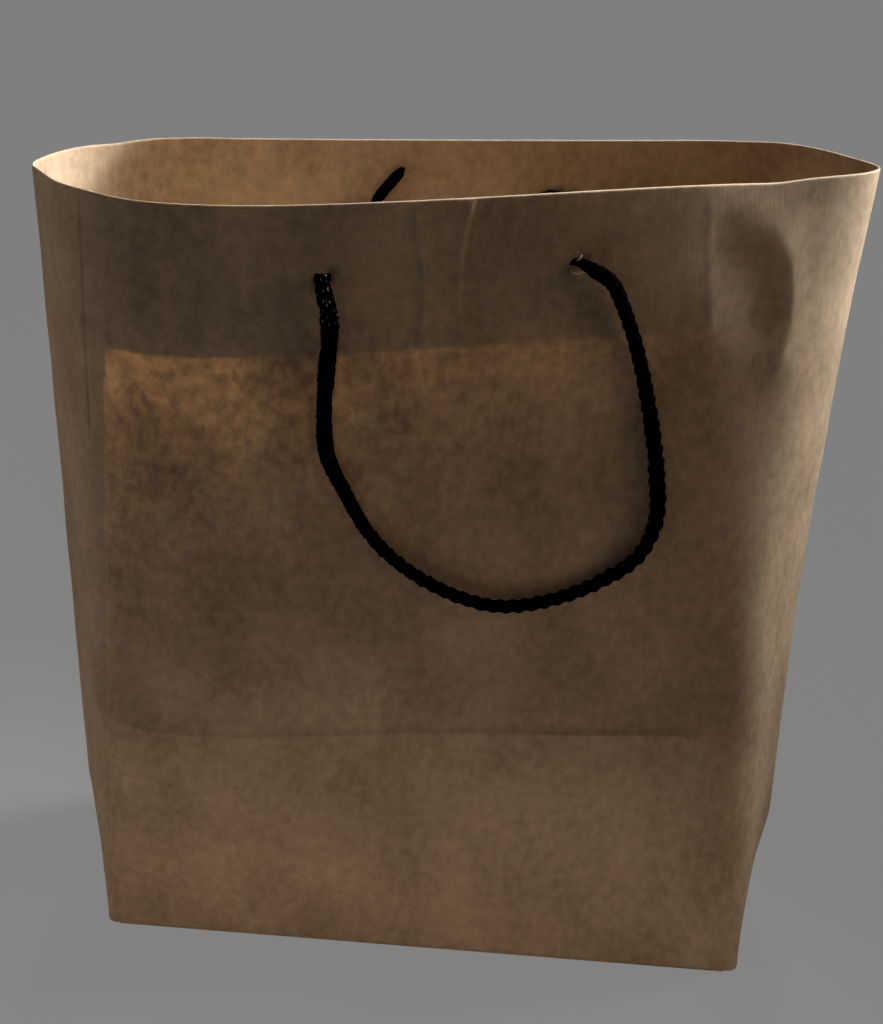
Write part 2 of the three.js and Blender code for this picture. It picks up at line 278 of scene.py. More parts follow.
def smooth_path(points, step):
    """Evenly spaced points on a centripetal spline through the route's points."""
    ends = [2 * points[0] - points[1], *points, 2 * points[-1] - points[-2]]
    fine = []
    for p0, p1, p2, p3 in zip(ends, ends[1:], ends[2:], ends[3:]):
        t1 = math.sqrt((p1 - p0).length)
        t2 = t1 + math.sqrt((p2 - p1).length)
        t3 = t2 + math.sqrt((p3 - p2).length)
        for k in range(SPLINE_STEPS):
            t = t1 + (t2 - t1) * k / SPLINE_STEPS
            a = p0.lerp(p1, t / t1)
            b = p1.lerp(p2, (t - t1) / (t2 - t1))
            c = p2.lerp(p3, (t - t2) / (t3 - t2))
            fine.append(a.lerp(b, t / t2).lerp(b.lerp(c, (t - t1) / (t3 - t1)), (t - t1) / (t2 - t1)))
    fine.append(points[-1])
    reach = [0]
    for a, b in zip(fine, fine[1:]):
        reach.append(reach[-1] + (b - a).length)
    count = max(2, round(reach[-1] / step))
    even, i = [], 0
    for k in range(count + 1):
        want = reach[-1] * k / count
        while i < len(fine) - 2 and reach[i + 1] < want:
            i += 1
        even.append(fine[i].lerp(fine[i + 1], (want - reach[i]) / (reach[i + 1] - reach[i])))
    return even, reach[-1]


def handle_path(panel):
    knots = [(side * HOLE_SPACING / 2 * MM, 0, BEHIND * MM) for side in (LEFT, RIGHT)]
    return smooth_path([cord_place(panel, p) for p in (knots[0], *HANDLE_ROUTE, knots[1])], CORD_STEP)


front_path, front_length = handle_path(FRONT)
back_path, back_length = handle_path(BACK)
print(f"front handle {front_length:.3f} m, rear handle {back_length:.3f} m from knot to knot")

# %% [markdown]
# A braid is a set of strands that wind round each other, half of them each way. Where two cross, the upper
# one stands proud, so the outline is scalloped and the surface is a net of small lozenges. The tube starts
# as one circle. It is extruded ring by ring along the path, and each ring is pushed in and out by the two
# sets of strands and by a slow unevenness.

# %% Braided tube
CORD_SIDES = 24
STRANDS = 3  # strands that wind each way
BRAID_PITCH = 0.0135  # length in which a strand goes once round
STRAND_ROUND = 0.7  # power that makes a strand's back broader than a wave
STRAND_DIP = 0.4  # how far a strand dips where it passes under another
CORE_SHARE, STRAND_SHARE = 0.79, 0.28  # shares of the radius: up to the gaps, and a strand's height
LUMP_SHARE, LUMP_FINENESS = 0.1, 260  # unevenness: share of the radius, and lumps per metre
END_START, END_LENGTH = 0.15, 0.8  # rounding of a cut end: how blunt its tip is, and its length in diameters


def ring_frames(path):
    """Directions across the path at each point, carried along without twisting."""
    last = len(path) - 1
    tangents = [(path[min(k + 1, last)] - path[max(k - 1, 0)]).normalized() for k in range(last + 1)]
    side = tangents[0].orthogonal().normalized()
    frames = []
    for tangent in tangents:
        side = (side - tangent * side.dot(tangent)).normalized()
        frames.append((side, tangent.cross(side)))
    return frames


def braid(turn, along):
    """Height of the strands, from 0 in the gaps to 1 on the upper strand."""
    phase = 2 * math.pi * along / BRAID_PITCH
    over = 0.5 + 0.5 * math.cos(STRANDS * phase)
    one = max(0, math.cos(STRANDS * (turn + phase))) ** STRAND_ROUND
    other = max(0, math.cos(STRANDS * (turn - phase))) ** STRAND_ROUND
    return max(one * (1 - STRAND_DIP + STRAND_DIP * over), other * (1 - STRAND_DIP * over))


def grow_rings(bm, count):
    """A circle extruded into a tube of rings, all still in one place."""
    made = bmesh.ops.create_circle(bm, cap_ends=False, segments=CORD_SIDES, radius=1)["verts"]
    rings = [sorted(made, key=lambda v: math.atan2(v.co.y, v.co.x))]
    for _ in range(count - 1):
        edges = [bm.edges.get((a, b)) for a, b in zip(rings[-1], rings[-1][1:] + rings[-1][:1])]
        grown = bmesh.ops.extrude_edge_only(bm, edges=edges)["geom"]
        partner = {}
        for face in (g for g in grown if isinstance(g, bmesh.types.BMFace)):
            for edge in face.edges:
                a, b = edge.verts
                if (a in rings[-1]) != (b in rings[-1]):
                    low, high = (a, b) if a in rings[-1] else (b, a)
                    partner[low] = high
        rings.append([partner[v] for v in rings[-1]])
    return rings


def braided_tube(bm, path, radius, start=0.0, round_ends=True):
    """Extrude a circle along a path and shape it as a braid.

    radius is a function of the share of the length, and start the length of cord before it, for the UV map.
    """
    uv = bm.loops.layers.uv.verify()
    rings = grow_rings(bm, len(path))
    step = (path[1] - path[0]).length
    for k, (ring, centre, (side, up)) in enumerate(zip(rings, path, ring_frames(path))):
        size = radius(k / (len(path) - 1))
        if round_ends:
            near = min(k, len(path) - 1 - k) * step
            size *= math.sqrt(min(1, END_START + near / (END_LENGTH * CORD_DIAMETER)))
        for j, v in enumerate(ring):
            turn = 2 * math.pi * j / CORD_SIDES
            spot = Vector((2 * math.cos(turn), 2 * math.sin(turn), k * step * LUMP_FINENESS))
            r = size * (CORE_SHARE + LUMP_SHARE * noise.noise(spot) + STRAND_SHARE * braid(turn, k * step))
            v.co = centre + side * (r * math.cos(turn)) + up * (r * math.sin(turn))
    for k, (low, high) in enumerate(zip(rings, rings[1:])):
        for j in range(CORD_SIDES):
            beside = (j + 1) % CORD_SIDES
            corners = {low[j], low[beside], high[j], high[beside]}
            face = next(f for f in low[j].link_faces if corners.issuperset(f.verts))
            for loop in face.loops:
                last = loop.vert in (low[beside], high[beside])
                row = k + (loop.vert in (high[j], high[beside]))
                loop[uv].uv = ((j + last) / CORD_SIDES, start + row * step)
    for ring in (rings[0], rings[-1]):
        bmesh.ops.contextual_create(bm, geom=ring)


def finish_mesh(bm, name, smooth=True):
    bmesh.ops.recalc_face_normals(bm, faces=bm.faces[:])
    mesh = bpy.data.meshes.new(name)
    bm.to_mesh(mesh)
    bm.free()
    for polygon in mesh.polygons:
        polygon.use_smooth = smooth
    piece = bpy.data.objects.new(name, mesh)
    scene.collection.objects.link(piece)
    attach(piece, "root")
    return piece


# %% Handles
THICKNESS = [  # share of the length from the left knot, share of the full diameter
    (0, 0.75), (0.028, 0.88), (0.04, 1.2), (0.053, 1.08), (0.065, 1.32), (0.078, 1.14), (0.103, 1.06),
    (0.115, 1.16), (0.128, 1.2), (0.15, 1), (0.2, 1.1), (0.27, 0.98), (0.36, 0.92), (0.5, 0.98),
    (0.62, 1.02), (0.7, 1.14), (0.78, 1.08), (0.88, 0.96), (0.95, 1.02), (0.965, 0.95), (0.978, 0.64),
    (1, 0.55),
]


def handle_thickness(share):
    """Half the width of a handle along its length: full down the left leg, thin where it is pulled in."""
    for (a, low), (b, high) in zip(THICKNESS, THICKNESS[1:]):
        if share <= b:
            return CORD_DIAMETER / 2 * (low + (high - low) * (share - a) / (b - a))


def make_handle(name, path):
    bm = bmesh.new()
    braided_tube(bm, path, handle_thickness, round_ends=False)
    return finish_mesh(bm, name)


front_handle = make_handle("front_handle_braid", front_path)
back_handle = make_handle("rear_handle_braid", back_path)
print("handle faces:", len(front_handle.data.polygons), len(back_handle.data.polygons))

# %% [markdown]
# Behind each hole the cord is tied in an overhand knot that is too big for the hole, and its cut end stands
# or hangs free. A ball would do for the weight, but from above the knots show. An overhand knot pulled
# tight is a trefoil, so the same braided tube is run along a small trefoil, and once more along the loose
# end.

# %% Knots and loose ends
KNOT_STEPS = 72  # points along a knot
KNOT_SPREAD = 0.00145  # a third of the trefoil's radius
KNOT_LIFT = 0.0021  # how far its crossings stand apart, to either side
KNOT_CORD = 0.0023  # half the width of the cord in the knot
KNOT_START = 1.0  # beyond any handle, so that knots and loose ends get no painted glints
TAIL_SHARE, TAIL_TAPER = 0.9, 0.08  # a loose end's share of the full diameter, and what it loses to its tip


def knot_path(panel, right):
    flat = hole_flat(panel, right, 0)
    normal = wall_normal(*flat)
    centre = wall_point(*flat) + normal * BEHIND
    up = Vector((0, 0, 1)) - normal * normal.z
    up.normalize()
    side = up.cross(normal)
    points = []
    for k in range(KNOT_STEPS + 1):
        a = 2 * math.pi * k / KNOT_STEPS
        x = math.sin(a) + 2 * math.sin(2 * a)
        y = math.cos(a) - 2 * math.cos(2 * a)
        z = -math.sin(3 * a)
        points.append(centre + (side * x + up * y) * KNOT_SPREAD + normal * (z * KNOT_LIFT))
    return points


def knot_thickness(share):
    return KNOT_CORD


def tail_thickness(share):
    return CORD_DIAMETER / 2 * (TAIL_SHARE - TAIL_TAPER * share)


def make_knot(name, panel, side, tail):
    right = side * HOLE_SPACING / 2
    bm = bmesh.new()
    braided_tube(bm, knot_path(panel, right), knot_thickness, KNOT_START, round_ends=False)
    route = [(right * MM, 0, BEHIND * MM), *tail]
    path, length = smooth_path([cord_place(panel, p) for p in route], TAIL_STEP)
    braided_tube(bm, path, tail_thickness, KNOT_START)
    print(f"{name}: loose end {length * MM:.0f} mm")
    return finish_mesh(bm, name)


def make_knots(end, panel, tails):
    sides = zip(("left", "right"), (LEFT, RIGHT), tails)
    return [make_knot(f"{end}_{name}_knot", panel, side, tail) for name, side, tail in sides]


front_knots = make_knots("front", FRONT, FRONT_TAILS)
back_knots = make_knots("rear", BACK, BACK_TAILS)

for piece, path, length, knots, node in (
    (front_handle, front_path, front_length, front_knots, "front_handle_cord"),
    (back_handle, back_path, back_length, back_knots, "rear_handle_cord"),
):
    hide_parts(node)
    print(f"{node}: {length:.3f} m of cord with {len(knots)} knots")

# %% [markdown]
# ## The sheet of paper
# The bag is one sheet, so it is made the way a bag maker makes it: from a flat blank. A grid in the plane
# has a line every 2.5 mm around and every 5 mm up, and closer ones where the paper is folded or creased.
# Subdividing a finished shell would make all of it finer. The places on the flat sheet are kept as the UV
# map, so that fibres and clouds run over the folds as they do in real paper. The holes are punched in the
# flat sheet. Then every vertex moves to its place on the folded bag, and what lies above the rim is turned
# in as the hem.

# %% Grid lines of the blank
GRID = 0.0025
SEAM = sum(EDGE_LENGTH[:4])  # the blank's edges meet at the back left fold
BLANK_HEIGHT = HEIGHT + HEM_DEPTH
FOLD_PLACES = [sum(EDGE_LENGTH[:k]) for k in range(FOLDS)]
FOLD_ZONE, FOLD_GRID = 0.001, 0.0005  # half the width of the fine grid along a fold, and its step


def blank_x(s):
    return (s - SEAM) % AROUND


def front_zone(left, right, step):
    return blank_x(WIDTH / 2 + left), blank_x(WIDTH / 2 + right), step


COLUMN_ZONES = [(blank_x(s) - FOLD_ZONE, blank_x(s) + FOLD_ZONE, FOLD_GRID) for s in FOLD_PLACES]
COLUMN_ZONES += [
    front_zone(-0.0125, 0.015, GRID / 4),  # the two creases in the hem
    front_zone(0.1125, 0.1375, GRID / 2),  # the dent by the right fold
    front_zone(0.125, 0.1325, GRID / 4),  # and its ridge
    front_zone(0.090, 0.105, GRID / 2),  # the kink on the base crease
    front_zone(-0.0925, -0.0825, GRID / 2),  # the wave in the left of the hem
    front_zone(-0.120, -0.105, 0.001),  # the edge of the overlap
]
ROW_ZONES = [
    (HEIGHT - 0.0775, BLANK_HEIGHT, GRID),  # the hem, and as far below it as the creases go
    (HEIGHT - FOLD_ZONE, HEIGHT + FOLD_ZONE, FOLD_GRID),  # the rim
    (BASE_CREASE - 0.003, BASE_CREASE + 0.003, 0.00075),  # the base crease
    (0.080, 0.1075, GRID),  # the kink on it
]


def grid_lines(length, step, zones):
    """Places of the grid lines along one side of the blank, closer together inside the zones."""
    places = {round(k * step, 6) for k in range(round(length / step) + 1)}
    for start, end, fine in zones:
        places.update(round(start + k * fine, 6) for k in range(round((end - start) / fine) + 1))
    return sorted(p for p in places if 0 <= p <= length)


columns = grid_lines(AROUND, GRID, COLUMN_ZONES)
rows = grid_lines(BLANK_HEIGHT, 2 * GRID, ROW_ZONES)
print("grid lines:", len(columns), "upright,", len(rows), "across")

# %% Flat blank
sheet = bmesh.new()
bmesh.ops.create_grid(sheet, x_segments=len(columns) - 1, y_segments=len(rows) - 1, size=0.5)
for v in sheet.verts:
    column = round((v.co.x + 0.5) * (len(columns) - 1))
    row = round((v.co.y + 0.5) * (len(rows) - 1))
    v.co = (columns[column], rows[row], 0)
print("blank:", len(sheet.faces), "faces")

# %% Punch the holes through the panel and the hem
def rim_of(centre):
    return [v for v in sheet.verts if v.is_boundary and (v.co - centre).length < 2 * GRID]


def punch(centre):
    nearest = min(sheet.verts, key=lambda v: (v.co - centre).length)
    bmesh.ops.delete(sheet, geom=[nearest], context="VERTS")
    rim = set(rim_of(centre))
    edges = [e for e in sheet.edges if e.is_boundary and rim.issuperset(e.verts)]
    bmesh.ops.subdivide_edges(sheet, edges=edges, cuts=1)
    for v in rim_of(centre):
        v.co = centre + (v.co - centre).normalized() * HOLE_RADIUS


for panel in (FRONT, BACK):
    for side in (LEFT, RIGHT):
        s, h = hole_flat(panel, side * HOLE_SPACING / 2, 0)
        punch(Vector((blank_x(s), h, 0)))
        punch(Vector((blank_x(s), 2 * HEIGHT - h, 0)))
print("after punching:", len(sheet.faces), "faces")

# %% Keep the flat places as the UV map
FLAT_MAP = "flat_sheet"
uv_layer = sheet.loops.layers.uv.new(FLAT_MAP)
for face in sheet.faces:
    for loop in face.loops:
        loop[uv_layer].uv = loop.vert.co.xy
print("UV map:", FLAT_MAP)

# %% [markdown]
# ## Creases, dents and slack
# The paper isn't perfect: two upright creases run through the middle of the hem, a ridge stands beside the
# right fold under the rim, a kink sits on the base crease, and the panels wave a little everywhere.
# Displacement textures would move every vertex by a picture. A short list of creases says what each one
# is, and a vertex moves out or in by its distance from them. Where paper has been folded sharply its
# fibres break and turn pale, so the same distances are kept as an attribute for the material. Along the
# creases that paleness is also painted highlight, a pale line in place of the light the crease catches.

# %% Creases
CREASES = [
    # points (around from the middle of the front, below the rim) in mm, height in mm (out is positive),
    # width in mm on its left and on its right, sharpness (1 is a fold, 2 a soft wave), how pale its line is
    # (worn fibres, and painted highlight)
    # the two creases in the hem, the line by the dent, and a wave at the left
    ([(-9.2, 4.9), (-5.7, 19.6), (-3.9, 33.2), (-5.4, 51)], 1.4, 1.0, 3.6, 1.2, 0.35),
    ([(9.9, 3.5), (8.2, 8.8), (7.2, 18.6), (7.5, 33.8), (11.5, 50)], 1.4, 3.8, 0.8, 1.2, 1),
    ([(94.5, 7), (97.6, 48.8)], 0.2, 1.6, 1.6, 1.1, 0.2),
    ([(-88, 9), (-86, 42)], 0.3, 2.2, 2.2, 2, 0),
    # the kink on the base crease, the hollow beside it, and the base crease with its stronger right part
    ([(98.6, 185), (99.2, 195), (99.6, 206)], 1.8, 3.0, 1.2, 1.2, 0.8),
    ([(86, 203), (95, 204)], -1.2, 6.0, 6.0, 2, 0),
    ([(-121, 191), (-112, 195), (-98, 198.5), (-60, 199), (0, 198.5), (98, 197.5)], 1.5, 14, 2.6, 1.05, 0.5),
    ([(40, 198), (98, 197)], 0.6, 4, 2.2, 1.2, 0.5),
    # the ridge of the dent by the right fold, and its hollow
    ([(123, 20), (127.5, 28), (129.2, 38), (129, 50), (126, 60)], 2.4, 11, 20, 1.35, 0),
    ([(100, 20), (112, 32), (114, 44)], -1.0, 12, 9, 2, 0),
    # the edge of the overlap, the swollen right back corner of the mouth, and small nicks in the back's rim
    ([(-108.5, 2), (-113.5, 150), (-118.5, 280)], 0.2, 0.7, 0.7, 1, 0.25),
    ([(205, -20), (205, 30)], 4.0, 20, 22, 2, 0),
    ([(-251, -2), (-250, 6)], 0.5, 1.0, 1.6, 1.3, 0.3),
    ([(-259, -2), (-258, 14)], -0.5, 3.0, 1.2, 1.4, 0),
    ([(-279, -2), (-277, 45)], -0.5, 5.0, 2.0, 1.4, 0),
]
CREASE_LINES = [
    ([Vector(p) / MM for p in line], *(x / MM for x in sizes), sharp, pale)
    for line, *sizes, sharp, pale in CREASES
]
CREASE_END = 4  # widths from its line at which a crease is no longer felt
CREASE_WORN_HIGHLIT_REACH = 0.0006  # distance within which a crease is painted pale, as wear and as highlight
print("creases:", len(CREASE_LINES))

# %% Relief of the paper
SLACK = [(16, 11, 1.7, 0.0011), (42, 30, 5.1, 0.00035)]  # waves per metre around and up, place, height
BASE_HOLD = 0.020  # height in which slack grows from none to full above the floor
RIM_HOLD, RIM_SLACK = 0.050, 0.25  # depth in which it would do so below the rim, and its share at the rim
BASE_WORN, RIM_WORN = 0.30, 0.05  # how worn the folds are
FOLD_WORN = 0.0008  # distance within which a fold or the rim is worn


def around_from(s, start):
    """The shorter way around the tube from one place to another, positive to the right of the front."""
    return (s - start + AROUND / 2) % AROUND - AROUND / 2


def place_by(p, points):
    """Where a flat point lies: beside a line (negative left of one that runs down), and past its end."""
    best, beside, past = 1.0, 1.0, 0.0
    for a, b in zip(points, points[1:]):
        d = (b - a).normalized()
        u = max(0, min((b - a).length, (p - a).dot(d)))
        gap = p - a - d * u
        if gap.length < best:
            best, beside, past = gap.length, d.y * gap.x - d.x * gap.y, gap.dot(d)
    return beside, past


def relief(s, h):
    """How far the paper stands out from the smooth wall, and how pale it is there: worn folds and rim, and
    along the creases painted highlight too.
    """
    wave = sum(height * noise.noise(Vector((s * x, h * y, z))) for x, y, z, height in SLACK)
    out = wave * min(1, h / BASE_HOLD) * min(1, RIM_SLACK + (HEIGHT - h) / RIM_HOLD)
    fold = min(abs(around_from(s, f)) for f in FOLD_PLACES)
    fold_wear = (BASE_WORN + (RIM_WORN - BASE_WORN) * h / HEIGHT) * math.exp(-fold / FOLD_WORN)
    worn_and_highlit = max(fold_wear, math.exp(-(HEIGHT - h) / FOLD_WORN))
    p = Vector((around_from(s, WIDTH / 2), HEIGHT - h))
    for line, height, left, right, sharp, pale in CREASE_LINES:
        beside, past = place_by(p, line)
        share = math.hypot(beside / (left if beside < 0 else right), past / math.sqrt(left * right))
        if share < CREASE_END:
            out += height * math.exp(-(share**sharp))
            worn_and_highlit = max(worn_and_highlit, pale * math.exp(-math.hypot(beside, past) / CREASE_WORN_HIGHLIT_REACH))
    return out, worn_and_highlit


print("relief in the middle of the front:", [round(x, 5) for x in relief(WIDTH / 2, HEIGHT / 2)])

# %% Fold the blank
TINY = 1e-6
HEM_INSET = 2.2 * PAPER  # outside of the wall to the inside of the hem
HEM_HELD = 0.032  # the hem is even down to here, past the holes
HEM_EXTRA, HEM_UNEVEN = 0.0028, 0.0022  # how much deeper its edge lies, and how much that varies
HEM_DEEPEST = -0.05  # where it lies deepest, around from the front left fold
OVERLAP_REACH = 0.0115  # how far the glued overlap reaches onto the front, at the rim


def hem_reach(s, down):
    """How far below the rim a place of the hem comes to lie: the hem is turned in deepest at the left."""
    extra = HEM_EXTRA + HEM_UNEVEN * math.cos(2 * math.pi * (s - HEM_DEEPEST) / AROUND)
    return down + extra * max(0, down - HEM_HELD) / (HEM_DEPTH - HEM_HELD)


worn_and_highlit_layer = sheet.verts.layers.float.new("worn_and_highlit")
glued_layer = sheet.verts.layers.float.new("glued")
for v in sheet.verts:
    s, h = v.co.x + SEAM, v.co.y
    turned_in = h > HEIGHT + TINY
    height = HEIGHT - hem_reach(s, h - HEIGHT) if turned_in else h
    place, normal = wall_point(s, height), wall_normal(s, height)
    off, v[worn_and_highlit_layer] = relief(s % AROUND, height)
    if turned_in:
        off -= HEM_INSET
    elif h > HEIGHT - TINY:
        off -= HEM_INSET / 2
    v.co = place + normal * off
    on_side, on_front = s % AROUND > FOLD_PLACES[LEFT_MIDDLE], s % AROUND < OVERLAP_REACH * height / HEIGHT
    v[glued_layer] = on_side or on_front
    if h < TINY:
        v.co.z = PAPER
seam = [v for v in sheet.verts if v.is_boundary]
bmesh.ops.remove_doubles(sheet, verts=seam, dist=TINY)
print("folded; open edges left:", sum(e.is_boundary for e in sheet.edges))

# %% Close the block bottom and give the paper its thickness
BOTTOM_EDGE = 0.0008  # bevel of the fold around the bottom
bottom = [e for e in sheet.edges if e.is_boundary and all(v.co.z < 2 * PAPER for v in e.verts)]
for face in bmesh.ops.edgeloop_fill(sheet, edges=bottom)["faces"]:
    face.normal_update()
    if face.normal.z > 0:
        face.normal_flip()
    for loop in face.loops:
        loop[uv_layer].uv = loop.vert.co.xy
bmesh.ops.bevel(
    sheet, geom=bottom, offset=BOTTOM_EDGE, segments=2, profile=0.5, affect="EDGES", material=-1,
    clamp_overlap=True,
)
sheet_mesh = bpy.data.meshes.new("paper_sheet")
sheet.to_mesh(sheet_mesh)
sheet.free()
for polygon in sheet_mesh.polygons:
    polygon.use_smooth = True
bag = bpy.data.objects.new("paper_sheet", sheet_mesh)
scene.collection.objects.link(bag)
wall = bag.modifiers.new("paper thickness", "SOLIDIFY")
wall.thickness = PAPER
wall.offset = -1
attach(bag, "root")
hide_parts("paper_bag")
print("sheet faces:", len(sheet_mesh.polygons))

# %% [markdown]
# The block bottom is closed by flaps of the same sheet. From below, the outer flap shows as a trapezoid
# that reaches past the middle. From above, a triangle lies at each end of the floor. They are flat plates,
# so each is a one-square grid whose corners are moved and which is given the paper's thickness. At the tip
# of a triangle two corners lie close together.

# %% Flaps of the block bottom
FLAP_OVERLAP = 0.014  # how far the outer flap reaches past the middle
FOLD_INSET = 0.0005
TIP_WIDTH = 0.0002
END_FLAP_TOP = 3.1 * PAPER


def flat_piece(bm, corners, z):
    """One layer of paper with the given corners, its upper face at height z."""
    square = bmesh.ops.create_grid(bm, x_segments=1, y_segments=1, size=1)["verts"]
    for v in square:
        v.co = (*corners[(v.co.x > 0) + 2 * (v.co.y > 0)], z)
    face = square[0].link_faces[0]
    lower = bmesh.ops.extrude_face_region(bm, geom=[face])["geom"]
    moved = [g for g in lower if isinstance(g, bmesh.types.BMVert)]
    bmesh.ops.translate(bm, vec=(0, 0, -PAPER), verts=moved)


flap_bm = bmesh.new()
flap_x, flap_y = WIDTH / 2 - FOLD_INSET - BASE_ROUND, DEPTH / 2 - FOLD_INSET
inner_x = flap_x - flap_y - FLAP_OVERLAP
flat_piece(
    flap_bm,
    [(-flap_x, -flap_y), (flap_x, -flap_y), (-inner_x, FLAP_OVERLAP), (inner_x, FLAP_OVERLAP)],
    PAPER,
)
end_y = flap_y - BASE_ROUND
for side in (LEFT, RIGHT):
    tip_x = side * (flap_x - end_y)
    tip, near = (tip_x, 0), (tip_x + side * TIP_WIDTH, TIP_WIDTH)
    flat_piece(flap_bm, [(side * flap_x, -end_y), tip, (side * flap_x, end_y), near], END_FLAP_TOP)
bmesh.ops.recalc_face_normals(flap_bm, faces=flap_bm.faces[:])
flap_uv = flap_bm.loops.layers.uv.new(FLAT_MAP)
for face in flap_bm.faces:
    for loop in face.loops:
        loop[flap_uv].uv = loop.vert.co.xy
base_flaps = finish_mesh(flap_bm, "base_flaps", smooth=False)
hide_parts("paper_bag")
print("base flaps:", len(base_flaps.data.polygons), "faces")

# %% [markdown]
# At the front holes the paper wasn't cut clean. At the right one half of the punched disc still hangs in
# the hole, under the cord, with a pale torn edge, and a pale sliver stands up above it. At the left one a
# scrap is left over the cord. They could be cut out of the sheet, but they are loose, so they are thin
# strips laid on the wall by the same measures as the cord's points. The pale colour of the edge and the
# sliver is partly torn fibres and partly painted highlight, in place of the light they catch.

# %% Torn paper at the front holes
BROWN, PALE_HIGHLIT = 0, 1  # finishes of a strip: like the sheet, or pale torn fibres with painted highlight


def torn_strip(bm, hole, spine, widths, finish, bow=0.0):
    """A thin strip along points (right of the hole, below it, off the wall) in mm. bow lifts its sides."""
    grid = bmesh.ops.create_grid(bm, x_segments=6, y_segments=len(spine) - 1, size=0.5)["verts"]
    flat = {}
    for v in grid:
        k = round((v.co.y + 0.5) * (len(spine) - 1))
        right, below, off = spine[k]
        across = v.co.x * widths[k]
        place = (hole * HOLE_SPACING / 2 * MM + right + across, below - bow * across**2, off)
        v.co = cord_place(FRONT, place)
        s, h = hole_flat(FRONT, place[0] / MM, place[1] / MM)
        flat[v] = (blank_x(s), h)
    for face in {f for v in grid for f in v.link_faces}:
        face.material_index = finish
        for loop in face.loops:
            loop[torn_uv].uv = flat[loop.vert]


torn_bm = bmesh.new()
torn_uv = torn_bm.loops.layers.uv.new(FLAT_MAP)
half_disc = [(-0.4, -0.2, -0.3), (-0.4, 0.8, -0.2), (-0.4, 1.8, -0.15), (-0.4, 2.6, -0.1)]
torn_strip(torn_bm, RIGHT, half_disc, [5.0, 5.0, 4.4, 3.0], BROWN)
torn_edge = [(0.3, 2.5, 0.1), (0.3, 2.85, 0.15)]
torn_strip(torn_bm, RIGHT, torn_edge, [4.6, 4.0], PALE_HIGHLIT, bow=0.16)
sliver = [(-0.6, -1.6, 0.5), (-0.4, -2.4, 1.2), (-0.1, -3.2, 1.6), (0.3, -4.1, 1.8)]
torn_strip(torn_bm, RIGHT, sliver, [0.7, 1.0, 0.9, 0.4], PALE_HIGHLIT)
scrap = [(0, -2.9, -0.15), (0, -2.2, -0.15), (0.1, -1.5, -0.1)]
torn_strip(torn_bm, LEFT, scrap, [2.6, 4.6, 4.4], BROWN, bow=0.08)
torn_paper = finish_mesh(torn_bm, "torn_paper")
torn_wall = torn_paper.modifiers.new("paper thickness", "SOLIDIFY")
torn_wall.thickness = PAPER / 2
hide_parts("paper_bag")
print("torn paper:", len(torn_paper.data.polygons), "faces")

# %% [markdown]
# ## Materials
# Kraft paper is a mat of long brown fibres. Close by it shows fine streaks along the sheet, soft clouds
# where the mat is thicker, and a few dark specks. Against the light the clouds show much more, and a single
# layer glows while the double layer of the hem stays dark, and so does the side where the sheet's ends
# overlap. A picture of paper would be quicker, but noise on the flat sheet's own places has no seams and
# any fineness. So the material mixes a matt surface with a part that lets light through. Folds and the rim
# are a little paler, as their attribute says: worn fibres, and along the creases also a painted highlight.

# %% Nodes that the finishes are made of
def feed(tree, socket, value):
    """Link a socket to another node's output, or set it to a plain number or colour."""
    if isinstance(value, bpy.types.NodeSocket):
        tree.links.new(value, socket)
    else:
        socket.default_value = (*value, 1) if isinstance(value, tuple) else value


def mix_colour(tree, factor, a, b):
    node = tree.nodes.new("ShaderNodeMix")
    node.data_type = "RGBA"
    for place, value in ((0, factor), (6, a), (7, b)):  # the sockets of a mix of colours
        feed(tree, node.inputs[place], value)
    return node.outputs[2]


def calculate(tree, operation, a, b):
    node = tree.nodes.new("ShaderNodeMath")
    node.operation = operation
    feed(tree, node.inputs[0], a)
    feed(tree, node.inputs[1], b)
    return node.outputs["Value"]


def stretch_values(tree, value, low, high):
    """Spread the values between low and high over 0 to 1."""
    node = tree.nodes.new("ShaderNodeMapRange")
    node.inputs["From Min"].default_value = low
    node.inputs["From Max"].default_value = high
    tree.links.new(value, node.inputs["Value"])
    return node.outputs["Result"]


def grain(tree, place, waves, detail, rough=0.5):
    """Noise with so many waves per unit of the UV map, each way."""
    mapping = tree.nodes.new("ShaderNodeMapping")
    mapping.inputs["Scale"].default_value = (*waves, 1)
    tree.links.new(place, mapping.inputs["Vector"])
    texture = tree.nodes.new("ShaderNodeTexNoise")
    texture.inputs["Scale"].default_value = 1
    texture.inputs["Detail"].default_value = detail
    texture.inputs["Roughness"].default_value = rough
    tree.links.new(mapping.outputs["Vector"], texture.inputs["Vector"])
    return texture.outputs["Fac"]


def pattern(tree, place, waves, detail, rough, low, high):
    return stretch_values(tree, grain(tree, place, waves, detail, rough), low, high)


def middle_of(tree, a, b):
    return calculate(tree, "MULTIPLY", calculate(tree, "ADD", a, b), 0.5)


def map_place(tree, layer=""):
    node = tree.nodes.new("ShaderNodeUVMap")
    node.uv_map = layer
    return node.outputs["UV"]


def attribute(tree, name):
    node = tree.nodes.new("ShaderNodeAttribute")
    node.attribute_name = name
    return node.outputs["Fac"]


def add_bump(tree, surface, height, strength, distance):
    bump = tree.nodes.new("ShaderNodeBump")
    bump.inputs["Strength"].default_value = strength
    bump.inputs["Distance"].default_value = distance
    tree.links.new(height, bump.inputs["Height"])
    tree.links.new(bump.outputs["Normal"], surface.inputs["Normal"])


def new_finish(name):
    material = bpy.data.materials.new(name)
    material.use_nodes = True
    return material, material.node_tree, material.node_tree.nodes["Principled BSDF"]


print("noise and colours are built from", [f.__name__ for f in (grain, stretch_values, mix_colour)])

